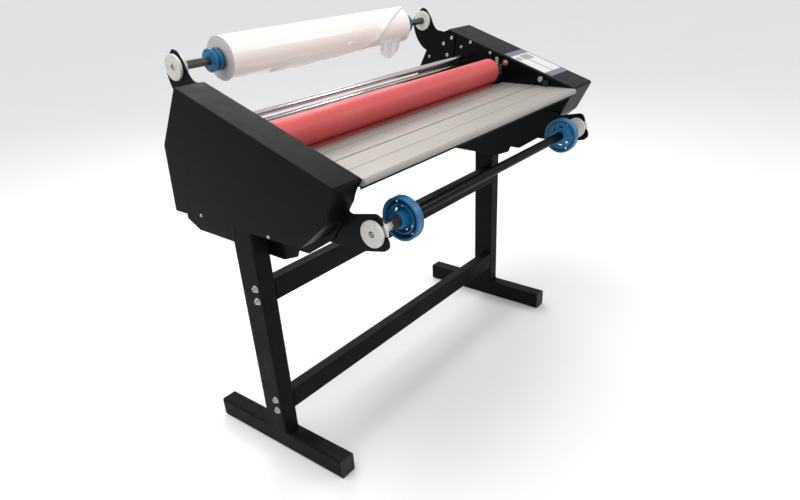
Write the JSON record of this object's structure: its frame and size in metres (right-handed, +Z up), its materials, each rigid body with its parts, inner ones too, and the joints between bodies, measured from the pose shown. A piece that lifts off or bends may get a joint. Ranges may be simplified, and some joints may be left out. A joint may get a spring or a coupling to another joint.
{
  "type": "cold roll laminator",
  "caption": "Floor-standing cold roll laminator: red silicone nip rollers between black side covers, aluminium table, film shafts with blue chucks, on a tubular T-leg stand.",
  "frame": {"origin": "on the floor, under the centre of the bounding box of the whole machine", "axes": "+X along the rollers towards the drive side, -Y towards the operator, +Z up"},
  "size_m": [1.261, 0.7346, 1.096],
  "materials": {
    "black_paint": "textured black powder coat",
    "satin_black": "satin black paint",
    "black_plastic": "moulded matt black",
    "red_plastic": "moulded glossy red",
    "steel": "turned and zinc plated",
    "dark_steel": "blackened steel",
    "chrome": "hard chrome, polished",
    "aluminium": "satin anodised extrusion",
    "red_silicone": "smooth ground red silicone rubber",
    "white_nylon": "turned white nylon",
    "blue_plastic": "moulded blue plastic",
    "film": "translucent white laminating film, wound",
    "cardboard": "spiral wound board"
  },
  "bodies": {
    "frame": {"left_leg": "black_paint", "left_foot_front_cap": "black_plastic", "left_foot_rear_cap": "black_plastic", "left_beam_bolts": "steel", "right_leg": "black_paint", "right_foot_front_cap": "black_plastic", "right_foot_rear_cap": "black_plastic", "right_beam_bolts": "steel", "lower_beam": "black_paint", "upper_beam": "black_paint", "left_frame_plate": "satin_black", "right_frame_plate": "satin_black", "right_stand_spacer": "satin_black", "rear_tie_bar": "satin_black", "left_cover": "satin_black", "right_cover": "satin_black", "left_upper_arm": "satin_black", "left_lower_arm": "satin_black", "right_upper_arm": "satin_black", "right_lower_arm": "satin_black", "left_arm_bolts": "steel", "right_arm_bolts": "steel", "left_roller_bearing": "steel", "right_roller_bearing": "steel", "drive_motor": "dark_steel", "left_pressure_spring": "steel", "right_pressure_spring": "steel", "guide_rod": "chrome", "table_panel": "aluminium", "table_nose": "aluminium", "table_support": "satin_black", "left_photo_sensor": "steel", "right_photo_sensor": "red_plastic", "power_inlet": "black_plastic"},
    "lift": {"left_lift_carriage": "dark_steel", "right_lift_carriage": "dark_steel"},
    "nip_lever": {"lift_shaft": "steel", "nip_lever": "black_plastic"},
    "upper_roller": {"upper_roller_core": "steel", "upper_roller_sleeve": "red_silicone"},
    "lower_roller": {"lower_roller_core": "steel", "lower_roller_sleeve": "red_silicone", "roller_gear": "steel"},
    "motor_pinion": {"motor_pinion": "steel"},
    "idler_rod": {"idler_rod": "chrome"},
    "supply_reel": {"supply_shaft": "dark_steel", "supply_left_bush": "white_nylon", "supply_right_bush": "white_nylon", "supply_left_chuck": "blue_plastic", "supply_right_chuck": "blue_plastic", "film_core": "cardboard", "film_roll": "film"},
    "lower_reel": {"lower_shaft": "steel", "lower_left_bush": "white_nylon", "lower_right_bush": "white_nylon", "lower_left_chuck": "blue_plastic", "lower_right_chuck": "blue_plastic"},
    "emergency_stop": {"emergency_stop": "red_plastic"},
    "speed_knob": {"speed_knob": "black_plastic"},
    "direction_switch": {"direction_switch": "black_plastic"}
  },
  "joints": [
    {"name": "nip_lift", "type": "slide", "parent": "frame", "child": "lift", "axis": [0, 0, 1], "range_m": [0, 0.012], "deforming": ["left_pressure_spring", "right_pressure_spring"]},
    {"name": "nip_lever_turn", "type": "hinge", "parent": "frame", "child": "nip_lever", "pos_m": [0.614, 0.06431, 0.9], "axis": [-1, 0, 0], "range_deg": [0, 58]},
    {"name": "lower_roller_spin", "type": "hinge", "parent": "frame", "child": "lower_roller", "pos_m": [-0.016, -0.01269, 0.8237], "axis": [1, 0, 0], "continuous": true},
    {"name": "upper_roller_spin", "type": "hinge", "parent": "lift", "child": "upper_roller", "pos_m": [-0.016, -0.01269, 0.9], "axis": [1, 0, 0], "continuous": true},
    {"name": "motor_pinion_spin", "type": "hinge", "parent": "frame", "child": "motor_pinion", "pos_m": [0.484, -0.07504, 0.7877], "axis": [1, 0, 0], "continuous": true},
    {"name": "idler_rod_spin", "type": "hinge", "parent": "frame", "child": "idler_rod", "pos_m": [-0.016, 0.10431, 0.933], "axis": [1, 0, 0], "continuous": true},
    {"name": "supply_reel_spin", "type": "hinge", "parent": "frame", "child": "supply_reel", "pos_m": [-0.016, 0.28231, 1.041], "axis": [1, 0, 0], "continuous": true},
    {"name": "lower_reel_spin", "type": "hinge", "parent": "frame", "child": "lower_reel", "pos_m": [-0.016, -0.31569, 0.741], "axis": [1, 0, 0], "continuous": true},
    {"name": "emergency_stop_press", "type": "slide", "parent": "frame", "child": "emergency_stop", "axis": [-1, 0, 0], "range_m": [0, 0.005]},
    {"name": "speed_knob_turn", "type": "hinge", "parent": "frame", "child": "speed_knob", "pos_m": [0.5985, -0.11769, 0.84], "axis": [1, 0, 0], "range_deg": [0, 270]},
    {"name": "direction_switch_rock", "type": "hinge", "parent": "frame", "child": "direction_switch", "pos_m": [0.5965, -0.06769, 0.84], "axis": [0, 1, 0], "range_deg": [-8, 8]}
  ],
  "couplings": [
    {"joint": "nip_lever_turn", "follows": "nip_lift", "rad_per_m": 83.333},
    {"joint": "upper_roller_spin", "follows": "lower_roller_spin", "ratio": -1},
    {"joint": "motor_pinion_spin", "follows": "lower_roller_spin", "ratio": -3}
  ]
}
